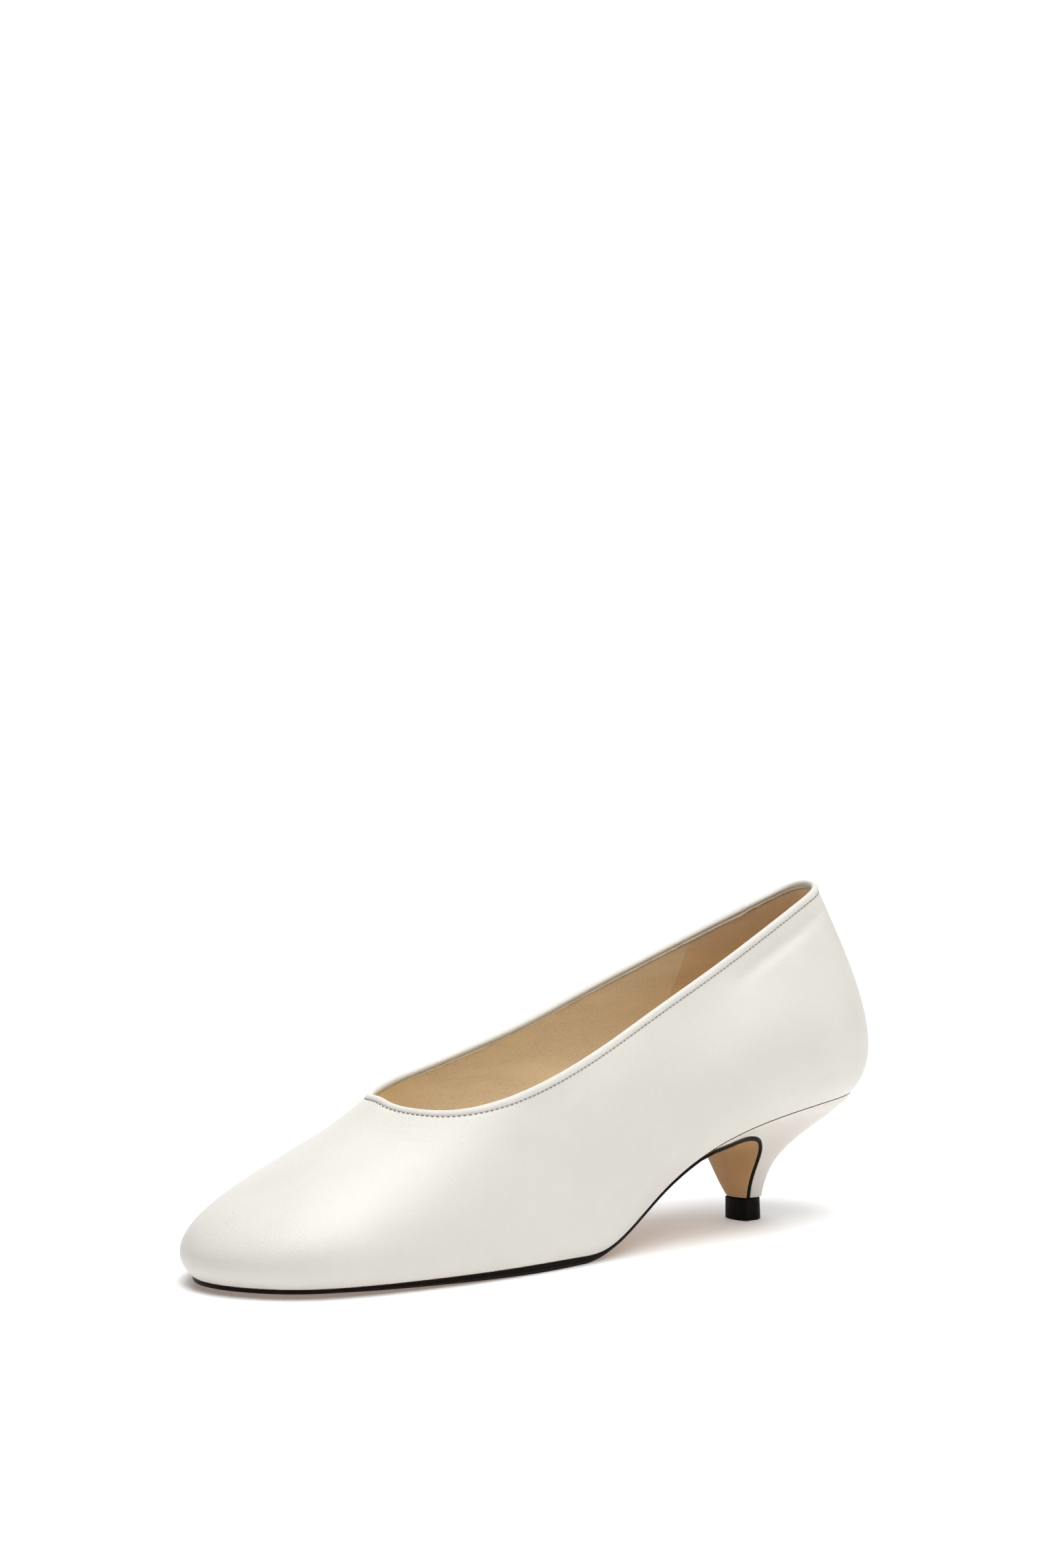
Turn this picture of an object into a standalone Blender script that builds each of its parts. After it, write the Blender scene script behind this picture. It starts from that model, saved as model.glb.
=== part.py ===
"""Left pump on a low curved heel: upper, topline binding, insole, outsole with breast flap, heel, top piece.

The shoe is worked out in last coordinates, in millimetres: s runs from the heel to the toe, y to the
outer (lateral) side and z up from the floor.  Every rib of the upper is a cubic arc from the feather
line, where the upper meets the sole, to the topline.
"""
import bmesh
import bpy
import numpy as np

MM = 0.001
OBJECT_NAME = "kitten_heel_pump"

# Driving sizes of the last and of the leather
LAST_LENGTH = 229.0
BALL_WIDTH = 70.0
HEEL_HEIGHT = 40.8
BACK_HEIGHT = 104.4
TREAD_TOP = 2.9
WALL = 1.4
GAP = 0.3

# Topline binding, an oval roll on the edge of the upper
BINDING_HIGH = 2.5
BINDING_THICK = 2.2
BINDING_FOOT_V = 0.98

# Insole and outsole
INSOLE_THICK = 2.0
INSOLE_INSET = 1.6
SOLE_INSET = 0.4
SOLE_BEVEL = 0.7
TREAD_THICK = 2.6
TOE_THICK = 1.2
SHANK_THICK = 1.2
SHANK_START = 114.0
TREAD_START = 127.0
TOE_SPRING_START = 145.0
TOE_SPRING_END = 208.0
FLAP_INSET = 0.2
TOE_TURN = 1.54

# Heel seat and top piece
EAR_TIP = 71.0
EAR_CLEARANCE = 5.0
HEEL_INSET = 0.15
BREAST_SKEW = 0.14
BREAST_BOW = 1.5
SKEW_FULL = 0.55
TOP_PIECE_HIGH = 7.0
TOP_PIECE_BACK = 36.8
TOP_PIECE_ARRIS = 45.0
TOP_PIECE_BOW = 1.0
TOP_PIECE_HALF = 4.5
TOP_PIECE_FLARE = 0.4
TOP_PIECE_ROUND = 0.55

# How finely the pieces are divided
RIBS = 48
RIB_CROWDING = 0.6
RIB_STEPS = 12
BINDING_SIDES = 8
SEAT_STEPS = 14
HEEL_STEPS = 22
SOLE_STEPS = 46
SOLE_SPANS = 4
TOP_PIECE_TURN = 9
TOP_PIECE_SPAN = 6
FINE_STEPS = 4001
SHARP_ANGLE = 40.0
LEAST_WEIGHT = 0.05

# One row for each rib from the heel back to the toe.  Lengths are shares of the driving sizes:
# along is of the last length, lat and med half widths are of the ball width, rise is the feather's way
# from the tread to the heel seat, top is of the back height.  Tilts are degrees, reaches millimetres.
# Lean is how far, in millimetres, the topline lies lower on the outer side and higher on the inner.
LAST_COLUMNS = ("t", "along", "lat", "med", "rise", "top_along", "top_half", "top", "lean",
                "foot_tilt", "foot_reach", "top_tilt", "top_reach")
LAST_ROWS = (
    (0.00, 0.000, 0.000, 0.000, 1.000, 0.041, 0.000, 1.000, 0.0, 42, 20.0, 66, 22.0),
    (0.06, 0.013, 0.189, 0.177, 0.979, 0.050, 0.090, 0.990, 0.0, 45, 19.5, 67, 22.0),
    (0.14, 0.072, 0.304, 0.293, 0.945, 0.090, 0.146, 0.951, 0.0, 49, 22.0, 71, 21.5),
    (0.23, 0.164, 0.343, 0.321, 0.873, 0.165, 0.200, 0.878, 0.0, 56, 29.0, 76, 18.0),
    (0.33, 0.269, 0.334, 0.286, 0.699, 0.269, 0.266, 0.779, 0.0, 58, 29.0, 75, 16.5),
    (0.43, 0.373, 0.349, 0.264, 0.372, 0.373, 0.317, 0.682, 0.0, 59, 26.0, 71, 16.0),
    (0.53, 0.478, 0.419, 0.300, 0.010, 0.473, 0.367, 0.588, 0.0, 56, 16.0, 66, 17.0),
    (0.58, 0.531, 0.460, 0.340, -0.005, 0.523, 0.396, 0.548, 0.0, 54, 11.0, 69, 18.0),
    (0.63, 0.587, 0.491, 0.386, 0.000, 0.570, 0.414, 0.514, 0.0, 50, 7.0, 71, 18.5),
    (0.72, 0.688, 0.511, 0.471, 0.000, 0.648, 0.405, 0.471, 0.1, 48, 7.5, 60, 19.0),
    (0.80, 0.784, 0.497, 0.489, 0.000, 0.697, 0.306, 0.453, 0.3, 46, 11.5, 45, 21.0),
    (0.87, 0.871, 0.453, 0.449, 0.000, 0.723, 0.178, 0.455, 0.6, 45, 17.5, 37, 24.0),
    (0.94, 0.955, 0.307, 0.297, 0.000, 0.735, 0.068, 0.462, 0.6, 44, 21.0, 34, 27.0),
    (1.00, 1.000, 0.000, 0.000, 0.000, 0.738, 0.000, 0.466, 0.0, 41, 21.5, 33, 28.0),
)
LAST_UNITS = {"along": LAST_LENGTH, "top_along": LAST_LENGTH, "lat": BALL_WIDTH, "med": BALL_WIDTH,
              "top_half": BALL_WIDTH, "rise": HEEL_HEIGHT - TREAD_TOP, "top": BACK_HEIGHT}
MIRRORED_WITH_SIGN = ("lat", "med", "top_half", "lean")

# Heel levels from the top piece to the seat, in millimetres: where each level meets the breast and
# the back, and its greatest half width.  The last level is the seat, which the feather line gives.
HEEL_COLUMNS = ("front_s", "front_z", "back_s", "back_z", "half")
HEEL_LEVELS = (
    (43.2, 7.3, 36.8, 7.3, 5.0),
    (44.4, 11.0, 36.9, 11.0, 7.0),
    (45.3, 15.5, 36.2, 15.8, 9.5),
    (45.9, 20.0, 34.0, 20.5, 12.2),
    (46.6, 23.8, 29.3, 24.6, 14.2),
    (48.2, 26.8, 22.6, 28.4, 15.6),
    (51.6, 28.7, 16.0, 31.8, 17.2),
    (57.5, 29.4, 11.0, 35.2, 19.4),
    (64.0, 28.8, 7.9, 38.0, 21.9),
    (71.0, 27.8, 6.5, 40.5, 24.0),
)

# Colour, roughness and metallic of each material
MATERIALS = {
    "nappa_leather": ((0.86, 0.83, 0.78, 1.0), 0.42, 0.0),
    "lining_leather": ((0.48, 0.33, 0.18, 1.0), 0.75, 0.0),
    "sole_leather": ((0.05, 0.04, 0.035, 1.0), 0.45, 0.0),
    "heel_cover": ((0.86, 0.83, 0.78, 1.0), 0.42, 0.0),
    "top_piece_rubber": ((0.012, 0.011, 0.010, 1.0), 0.5, 0.0),
}


def spline(knots, values, mirrored):
    """Cubic spline; a mirrored column is level at both ends, the others have no bend there."""
    count = len(knots)
    step = np.diff(knots)
    slope = np.diff(values) / step
    matrix = np.eye(count)
    right = np.zeros(count)
    for i in range(1, count - 1):
        matrix[i, i - 1:i + 2] = step[i - 1], 2 * (step[i - 1] + step[i]), step[i]
        right[i] = 6 * (slope[i] - slope[i - 1])
    if mirrored:
        matrix[0, :2] = 2 * step[0], step[0]
        matrix[-1, -2:] = step[-1], 2 * step[-1]
        right[0], right[-1] = 6 * slope[0], -6 * slope[-1]
    bend = np.linalg.solve(matrix, right)

    def value(q):
        i = np.clip(np.searchsorted(knots, q, side="right") - 1, 0, count - 2)
        a = (knots[i + 1] - q) / step[i]
        b = 1 - a
        curve = (a ** 3 - a) * bend[i] + (b ** 3 - b) * bend[i + 1]
        return a * values[i] + b * values[i + 1] + curve * step[i] ** 2 / 6

    return value


def last_curves():
    """The columns of the last table as curves of t, in millimetres and degrees."""
    table = np.array(LAST_ROWS)
    curves = {}
    for i, name in enumerate(LAST_COLUMNS[1:], start=1):
        values = table[:, i] * LAST_UNITS.get(name, 1.0)
        if name in ("along", "top_along"):
            values = values + HEEL_LEVELS[-1][HEEL_COLUMNS.index("back_s")]
        if name == "rise":
            values = values + TREAD_TOP
        curves[name] = spline(table[:, 0], values, name not in MIRRORED_WITH_SIGN)
    return curves


LAST = last_curves()


def edge_line(along, half, height, t, side):
    """Points of the feather line or the topline on one side, with their outward normals in plan."""
    nudge = 0.001
    ahead, behind = np.minimum(t + nudge, 1.0), np.maximum(t - nudge, 0.0)
    ds = LAST[along](ahead) - LAST[along](behind)
    dy = LAST[half](ahead) - LAST[half](behind)
    ds = np.where((t <= 0.0) | (t >= 1.0), 0.0, ds)
    size = np.hypot(ds, dy)
    points = np.stack([LAST[along](t), side * LAST[half](t), LAST[height](t)], -1)
    normals = np.stack([-dy / size, side * ds / size, np.zeros_like(t)], -1)
    return points, normals


def feather(t, side):
    return edge_line("along", "lat" if side > 0 else "med", "rise", t, side)


def topline(t, side):
    points, normals = edge_line("top_along", "top_half", "top", t, side)
    points[..., 2] -= side * LAST["lean"](t)
    return points, normals


def tilted(normals, tilt, reach):
    """A handle that leaves along the plan normals, raised by tilt degrees."""
    angle = np.radians(tilt)[..., None]
    up = np.array([0.0, 0.0, 1.0])
    return reach[..., None] * (normals * np.cos(angle) + up * np.sin(angle))


def rib(t, v, side):
    """Points of the upper's outside: t picks the rib, v runs from the feather line to the topline."""
    foot, foot_out = feather(t, side)
    top, top_out = topline(t, side)
    low = foot + tilted(foot_out, LAST["foot_tilt"](t), LAST["foot_reach"](t))
    high = top + tilted(top_out, -LAST["top_tilt"](t), LAST["top_reach"](t))
    v = v[..., None]
    return (1 - v) ** 3 * foot + 3 * (1 - v) ** 2 * v * low + 3 * (1 - v) * v ** 2 * high + v ** 3 * top


def ring_ribs():
    """The t and side of each rib on the way round the shoe: outer side to the toe, inner side back."""
    even = np.linspace(0.0, 1.0, RIBS + 1)
    t = even - RIB_CROWDING * np.sin(2 * np.pi * even) / (2 * np.pi)
    return np.concatenate([t, t[-2:0:-1]]), np.concatenate([np.ones(RIBS + 1), -np.ones(RIBS - 1)])


def on_ring(function, t, side, *rest):
    """Evaluate a one-sided function along the ring."""
    outer = function(t, *rest, 1.0)
    inner = function(t, *rest, -1.0)
    pick = side > 0
    if isinstance(outer, tuple):
        return tuple(np.where(pick[:, None], a, b) for a, b in zip(outer, inner))
    return np.where(pick[:, None], outer, inner)


def frame_offset():
    """Middle of the shoe's box in plan, which the part's origin stands under."""
    t, side = ring_ribs()
    rows = [on_ring(rib, t, side, np.full_like(t, v)) for v in np.linspace(0.0, 1.0, RIB_STEPS * 4 + 1)]
    points = np.concatenate(rows)
    return (points[:, :2].min(0) + points[:, :2].max(0)) / 2


MIDDLE = frame_offset()


def to_part(points):
    """Last millimetres to part metres: the toe looks to -Y and the outer side to +X."""
    s, y, z = np.moveaxis(np.asarray(points), -1, 0)
    return np.stack([y - MIDDLE[1], MIDDLE[0] - s, z], -1) * MM


def new_object(name, loops, faces, material, collection):
    mesh = bpy.data.meshes.new(name)
    mesh.from_pydata(to_part(np.concatenate(loops)).tolist(), [], faces)
    mesh.validate()
    mesh.materials.append(material)
    obj = bpy.data.objects.new(name, mesh)
    collection.objects.link(obj)
    return obj


def band_faces(rows, columns, close_rows=False):
    """Quads between closed loops of the same length."""
    faces = []
    for r in range(rows if close_rows else rows - 1):
        below, above = r * columns, ((r + 1) % rows) * columns
        for c in range(columns):
            n = (c + 1) % columns
            faces.append((below + c, above + c, above + n, below + n))
    return faces


def ladder_faces(start, columns):
    """Cap of a loop whose point i lies across from point columns - i."""
    faces = [(start, start + columns - 1, start + 1)]
    for i in range(1, columns // 2):
        across = columns - i
        if across - 1 == i + 1:
            faces.append((start + i, start + across, start + i + 1))
        else:
            faces.append((start + i, start + across, start + across - 1, start + i + 1))
    return faces


def face_outward(obj):
    """Point the faces of a closed mesh out and shade its curved faces smooth."""
    bm = bmesh.new()
    bm.from_mesh(obj.data)
    bmesh.ops.recalc_face_normals(bm, faces=bm.faces)
    bm.to_mesh(obj.data)
    bm.free()
    shade(obj)


def shade(obj):
    obj.data.shade_smooth()
    obj.data.set_sharp_from_angle(angle=np.radians(SHARP_ANGLE))


def add_upper(material, collection):
    """Open shell from the feather line to just under the binding, with the wall on its inside."""
    t, side = ring_ribs()
    stop = 1 - (BINDING_HIGH / 2 + GAP) / (3 * LAST["top_reach"](t))
    loops = [on_ring(rib, t, side, stop * v) for v in np.linspace(0.0, 1.0, RIB_STEPS + 1)]
    obj = new_object("upper", loops, band_faces(len(loops), len(t)), material, collection)
    wall = obj.modifiers.new("wall", "SOLIDIFY")
    wall.thickness = WALL * MM
    wall.offset = -1.0
    wall.use_even_offset = True
    wall.use_quality_normals = True
    shade(obj)
    return obj


def add_binding(material, collection):
    """Oval roll along the topline, centred on the middle of the upper's wall."""
    t, side = ring_ribs()
    top, _ = on_ring(topline, t, side)
    before = on_ring(rib, t, side, np.full_like(t, BINDING_FOOT_V))
    rise = top - before
    rise /= np.linalg.norm(rise, axis=1)[:, None]
    run = np.roll(top, -1, 0) - np.roll(top, 1, 0)
    out = np.cross(rise, run)
    out /= np.linalg.norm(out, axis=1)[:, None]
    centre = top - out * WALL / 2
    loops = []
    for angle in np.linspace(0.0, 2 * np.pi, BINDING_SIDES, endpoint=False):
        loops.append(centre + rise * BINDING_HIGH / 2 * np.cos(angle) + out * BINDING_THICK / 2 * np.sin(angle))
    faces = band_faces(BINDING_SIDES, len(t), close_rows=True)
    obj = new_object("topline_binding", loops, faces, material, collection)
    face_outward(obj)
    return obj


def add_insole(material, collection):
    """Plate on the feather line, inside the wall, over the whole length of the foot."""
    t, side = ring_ribs()
    foot, out = on_ring(feather, t, side)
    low = foot - out * INSOLE_INSET
    high = low + np.array([0.0, 0.0, INSOLE_THICK])
    columns = len(t)
    faces = band_faces(2, columns) + ladder_faces(0, columns) + ladder_faces(columns, columns)
    obj = new_object("insole", [low, high], faces, material, collection)
    face_outward(obj)
    return obj


def heel_levels(steps):
    """The heel table as smooth level lines."""
    table = np.array(HEEL_LEVELS)
    knots = np.arange(len(table), dtype=float)
    q = np.linspace(0.0, knots[-1], steps)
    return {name: spline(knots, table[:, i], False)(q) for i, name in enumerate(HEEL_COLUMNS)}


def feather_t(s):
    """The rib that starts at s."""
    t = np.linspace(0.0, 1.0, FINE_STEPS)
    return np.interp(s, LAST["along"](t), t)


def profile_normals(profile):
    """Unit normals of a line in the s, z plane, to the side of the floor and of the breast."""
    run = np.gradient(profile, axis=0)
    run /= np.linalg.norm(run, axis=1)[:, None]
    return np.stack([run[:, 1], -run[:, 0]], -1)


def breast_shift(y, half, level):
    """How far the breast stands forward of its table, being turned outward and bowed between its edges."""
    fade = 1 - np.clip((level - SKEW_FULL) / (1 - SKEW_FULL), 0, 1) ** 2
    return fade * (BREAST_BOW * (1 - (y / half) ** 2) - BREAST_SKEW * y)


def add_outsole(material, collection):
    """Belt from the toe over tread and shank, turned down the heel breast as a flap."""
    levels = heel_levels(HEEL_STEPS)
    breast = np.stack([levels["front_s"], levels["front_z"]], -1)
    breast = breast + GAP * profile_normals(breast)
    draw = levels["half"] / levels["half"][-1]
    level = np.linspace(0.0, 1.0, HEEL_STEPS)

    first = feather_t(EAR_TIP + EAR_CLEARANCE)
    t = first + (1 - first) * np.sin(np.linspace(0.0, TOE_TURN, SOLE_STEPS))
    ears = {1.0: LAST["lat"](feather_t(EAR_TIP)), -1.0: LAST["med"](feather_t(EAR_TIP))}
    middle = (ears[1.0] + ears[-1.0]) / 2
    edges = []
    for side in (1.0, -1.0):
        foot, out = feather(t, side)
        width = draw * (middle + level * (ears[side] - middle) - FLAP_INSET)
        flap = np.column_stack([breast[:, 0], side * width, breast[:, 1]])
        edges.append(np.concatenate([flap, foot - out * SOLE_INSET - [0.0, 0.0, GAP]]))

    along = edges[0][:, 0]
    stations = (SHANK_START, TREAD_START, TOE_SPRING_START, TOE_SPRING_END)
    thick = np.interp(along, stations, (SHANK_THICK, TREAD_THICK, TREAD_THICK, TOE_THICK))
    normal = profile_normals((edges[0] + edges[1])[:, [0, 2]] / 2)
    bevel = np.minimum(SOLE_BEVEL * thick / TREAD_THICK, edges[0][:, 1] / 4)
    tops, unders = [], []
    for share in np.linspace(0.0, 1.0, SOLE_SPANS + 1):
        line = edges[0] + share * (edges[1] - edges[0])
        shift = np.zeros(len(line))
        shift[:HEEL_STEPS] = breast_shift(line[:HEEL_STEPS, 1], edges[0][:HEEL_STEPS, 1], level)
        line[:, 0] += shift
        under = line.copy()
        under[:, [0, 2]] += thick[:, None] * normal
        under[:, 1] -= bevel * (1 - 2 * share)
        floor = np.zeros(len(under))
        floor[:HEEL_STEPS] = TOP_PIECE_HIGH + GAP
        under[:, 2] = np.maximum(under[:, 2], floor)
        line[:, 2] = np.maximum(line[:, 2], floor)
        tops.append(line)
        unders.append(under)
    loops = list(np.stack(tops + unders[::-1], 1))
    columns = len(loops[0])
    last = (len(loops) - 1) * columns
    faces = band_faces(len(loops), columns)
    faces += [tuple(range(columns)), tuple(range(last, last + columns))]
    obj = new_object("outsole", loops, faces, material, collection)
    face_outward(obj)
    return obj


def add_heel(material, collection):
    """Heel block: the seat's outline, drawn in level by level down to the top piece."""
    levels = heel_levels(HEEL_STEPS)
    t = feather_t(EAR_TIP) * np.linspace(0.0, 1.0, SEAT_STEPS + 1)
    seat = LAST["along"](t)
    share = (seat - seat[0]) / (seat[-1] - seat[0])
    seat_z = LAST["rise"](t) - GAP
    dish = seat_z - (seat_z[0] + share * (seat_z[-1] - seat_z[0]))
    front = np.stack([levels["front_s"], levels["front_z"]], -1)
    middle = (LAST["lat"](t) + LAST["med"](t)) / 2
    loops = []
    for i, level in enumerate(np.linspace(0.0, 1.0, HEEL_STEPS)):
        draw = levels["half"][i] / levels["half"][-1]
        back = np.array([levels["back_s"][i], levels["back_z"][i]])
        line = back + share[:, None] * (front[i] - back)
        line[:, 1] += dish * level ** 2
        outer = draw * (middle + level * (LAST["lat"](t) - middle)) - HEEL_INSET * np.sign(t)
        inner = HEEL_INSET * np.sign(t) - draw * (middle + level * (LAST["med"](t) - middle))
        across = np.linspace(outer[-1], inner[-1], SOLE_SPANS + 1)[1:-1]
        y = np.concatenate([outer, across, inner[:0:-1]])
        weight = np.concatenate([share, np.ones(len(across)), share[:0:-1]])
        sz = np.concatenate([line, np.repeat(line[-1:], len(across), 0), line[:0:-1]])
        shift = weight ** 2 * breast_shift(y, outer[-1] / np.maximum(weight, LEAST_WEIGHT), level)
        loops.append(np.column_stack([sz[:, 0] + shift, y, sz[:, 1]]))
    columns = len(loops[0])
    faces = band_faces(HEEL_STEPS, columns)
    for start in (0, (HEEL_STEPS - 1) * columns):
        faces += ladder_faces(start, columns)
    obj = new_object("heel", loops, faces, material, collection)
    face_outward(obj)
    return obj


def add_top_piece(material, collection):
    """Rubber lift under heel and flap: round behind, bowed in front, its back flared to the floor."""
    turn = np.linspace(0.0, np.pi / 2, TOP_PIECE_TURN)
    depth = (TOP_PIECE_ARRIS - TOP_PIECE_BACK) * TOP_PIECE_ROUND
    back = np.stack([TOP_PIECE_BACK + depth * (1 - np.cos(turn)), TOP_PIECE_HALF * np.sin(turn)], -1)
    across = np.linspace(1.0, 0.0, TOP_PIECE_SPAN)
    front = np.stack([TOP_PIECE_ARRIS + TOP_PIECE_BOW * (1 - across ** 2), TOP_PIECE_HALF * across], -1)
    outer = np.concatenate([back, front])
    outline = np.concatenate([outer, (outer * [1, -1])[-2:0:-1]])
    forward = (outline[:, 0] - TOP_PIECE_BACK) / (TOP_PIECE_ARRIS - TOP_PIECE_BACK)
    outline[:, 0] -= forward * BREAST_SKEW * outline[:, 1]
    loops = []
    for flare, z in ((TOP_PIECE_FLARE, 0.0), (0.0, TOP_PIECE_HIGH)):
        back_s = outline[:, 0] - flare * (1 - forward)
        loops.append(np.column_stack([back_s, outline[:, 1], np.full(len(outline), z)]))
    columns = len(outline)
    faces = band_faces(2, columns) + ladder_faces(0, columns) + ladder_faces(columns, columns)
    obj = new_object("top_piece", loops, faces, material, collection)
    face_outward(obj)
    return obj


def make_material(name):
    colour, roughness, metallic = MATERIALS[name]
    material = bpy.data.materials.new(name)
    material.use_nodes = True
    shader = material.node_tree.nodes["Principled BSDF"]
    shader.inputs["Base Color"].default_value = colour
    shader.inputs["Roughness"].default_value = roughness
    shader.inputs["Metallic"].default_value = metallic
    material.diffuse_color = colour
    return material


def main():
    for obj in list(bpy.data.objects):
        bpy.data.objects.remove(obj, do_unlink=True)
    collection = bpy.data.collections.new(OBJECT_NAME)
    bpy.context.scene.collection.children.link(collection)
    made = {name: make_material(name) for name in MATERIALS}
    add_upper(made["nappa_leather"], collection)
    add_binding(made["nappa_leather"], collection)
    add_insole(made["lining_leather"], collection)
    add_outsole(made["sole_leather"], collection)
    add_heel(made["heel_cover"], collection)
    add_top_piece(made["top_piece_rubber"], collection)


main()
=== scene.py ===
"""Left pump on a low curved heel, in off-white nappa with a rolled topline and a tan lining.

Everything is worked out in last coordinates, in millimetres: s runs from the heel to the toe, y to the
outer side and z up from the floor. The skin of the upper is a family of arcs from the feather line,
where it meets the sole, to the topline; t picks the arc and v runs up it.
"""

import bmesh
import bpy
import numpy as np
from bpy.props import FloatProperty, FloatVectorProperty, PointerProperty
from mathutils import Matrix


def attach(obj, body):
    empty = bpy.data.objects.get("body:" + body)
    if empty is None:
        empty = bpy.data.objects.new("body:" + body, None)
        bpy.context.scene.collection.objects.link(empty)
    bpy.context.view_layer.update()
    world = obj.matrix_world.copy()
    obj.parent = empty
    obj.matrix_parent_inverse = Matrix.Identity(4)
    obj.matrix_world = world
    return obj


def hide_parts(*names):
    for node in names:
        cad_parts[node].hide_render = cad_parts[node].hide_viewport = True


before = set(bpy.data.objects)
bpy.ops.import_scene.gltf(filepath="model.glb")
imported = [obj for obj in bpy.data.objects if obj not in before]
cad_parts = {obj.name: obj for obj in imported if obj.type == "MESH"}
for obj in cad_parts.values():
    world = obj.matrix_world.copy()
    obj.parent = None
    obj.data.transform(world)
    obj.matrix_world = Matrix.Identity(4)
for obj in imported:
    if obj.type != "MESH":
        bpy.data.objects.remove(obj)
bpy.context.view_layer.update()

bl_info = {
    "name": "Kitten-heel pump",
    "version": (1, 0, 0),
    "blender": (4, 5, 0),
    "location": "View3D > Sidebar > Pump",
    "description": "Builds the leather, lining, sole and heel of a left pump around its packed solids",
    "category": "Object",
}

MM = 0.001
BODY = "root"

# The last, as in the part's source: driving sizes and one row for each rib from the heel to the toe
LAST_LENGTH = 229.0
BALL_WIDTH = 70.0
HEEL_HEIGHT = 40.8
BACK_HEIGHT = 104.4
TREAD_TOP = 2.9
WALL = 1.4
GAP = 0.3
LAST_COLUMNS = ("t", "along", "lat", "med", "rise", "top_along", "top_half", "top", "lean",
                "foot_tilt", "foot_reach", "top_tilt", "top_reach")
LAST_ROWS = (
    (0.00, 0.000, 0.000, 0.000, 1.000, 0.041, 0.000, 1.000, 0.0, 42, 20.0, 66, 22.0),
    (0.06, 0.013, 0.189, 0.177, 0.979, 0.050, 0.090, 0.990, 0.0, 45, 19.5, 67, 22.0),
    (0.14, 0.072, 0.304, 0.293, 0.945, 0.090, 0.146, 0.951, 0.0, 49, 22.0, 71, 21.5),
    (0.23, 0.164, 0.343, 0.321, 0.873, 0.165, 0.200, 0.878, 0.0, 56, 29.0, 76, 18.0),
    (0.33, 0.269, 0.334, 0.286, 0.699, 0.269, 0.266, 0.779, 0.0, 58, 29.0, 75, 16.5),
    (0.43, 0.373, 0.349, 0.264, 0.372, 0.373, 0.317, 0.682, 0.0, 59, 26.0, 71, 16.0),
    (0.53, 0.478, 0.419, 0.300, 0.010, 0.473, 0.367, 0.588, 0.0, 56, 16.0, 66, 17.0),
    (0.58, 0.531, 0.460, 0.340, -0.005, 0.523, 0.396, 0.548, 0.0, 54, 11.0, 69, 18.0),
    (0.63, 0.587, 0.491, 0.386, 0.000, 0.570, 0.414, 0.514, 0.0, 50, 7.0, 71, 18.5),
    (0.72, 0.688, 0.511, 0.471, 0.000, 0.648, 0.405, 0.471, 0.1, 48, 7.5, 60, 19.0),
    (0.80, 0.784, 0.497, 0.489, 0.000, 0.697, 0.306, 0.453, 0.3, 46, 11.5, 45, 21.0),
    (0.87, 0.871, 0.453, 0.449, 0.000, 0.723, 0.178, 0.455, 0.6, 45, 17.5, 37, 24.0),
    (0.94, 0.955, 0.307, 0.297, 0.000, 0.735, 0.068, 0.462, 0.6, 44, 21.0, 34, 27.0),
    (1.00, 1.000, 0.000, 0.000, 0.000, 0.738, 0.000, 0.466, 0.0, 41, 21.5, 33, 28.0),
)
LAST_UNITS = {"along": LAST_LENGTH, "top_along": LAST_LENGTH, "lat": BALL_WIDTH, "med": BALL_WIDTH,
              "top_half": BALL_WIDTH, "rise": HEEL_HEIGHT - TREAD_TOP, "top": BACK_HEIGHT}
MIRRORED_WITH_SIGN = ("lat", "med", "top_half", "lean")

# Heel levels from the top piece to the seat
HEEL_COLUMNS = ("front_s", "front_z", "back_s", "back_z", "half")
HEEL_LEVELS = (
    (43.2, 7.3, 36.8, 7.3, 5.0),
    (44.4, 11.0, 36.9, 11.0, 7.0),
    (45.3, 15.5, 36.2, 15.8, 9.5),
    (45.9, 20.0, 34.0, 20.5, 12.2),
    (46.6, 23.8, 29.3, 24.6, 14.2),
    (48.2, 26.8, 22.6, 28.4, 15.6),
    (51.6, 28.7, 16.0, 31.8, 17.2),
    (57.5, 29.4, 11.0, 35.2, 19.4),
    (64.0, 28.8, 7.9, 38.0, 21.9),
    (71.0, 27.8, 6.5, 40.5, 24.0),
)
EAR_TIP = 71.0
EAR_CLEARANCE = 5.0
HEEL_INSET = 0.15
FLAP_INSET = 0.2
BREAST_SKEW = 0.14
BREAST_BOW = 1.5
SKEW_FULL = 0.55

# Sole and insole
INSOLE_THICK = 2.0
INSOLE_INSET = 1.6
SOLE_INSET = 0.4
SOLE_BEVEL = 0.7
TREAD_THICK = 2.6
TOE_THICK = 1.2
SHANK_THICK = 1.2
SHANK_START = 114.0
TREAD_START = 127.0
TOE_SPRING_START = 145.0
TOE_SPRING_END = 208.0
TOE_TURN = 1.54

# Top piece
TOP_PIECE_HIGH = 7.0
TOP_PIECE_BACK = 36.8
TOP_PIECE_ARRIS = 45.0
TOP_PIECE_BOW = 1.0
TOP_PIECE_HALF = 4.5
TOP_PIECE_FLARE = 0.4
TOP_PIECE_ROUND = 0.55

# How finely the frame's middle was measured, and how finely the pieces are divided here
FRAME_RIBS = 48
FRAME_STEPS = 48
RIB_CROWDING = 0.6
SKIN_RIBS = 190
SKIN_STEPS = 144
SKIN_BACK_EVERY = 12
LINING_RIBS = 110
LINING_STEPS = 40
BEAD_RIBS = 280
HEEL_STEPS = 60
SEAT_STEPS = 44
SOLE_STEPS = 190
SOLE_SPANS = 12
FEATHER_SAMPLES = 4001

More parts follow.
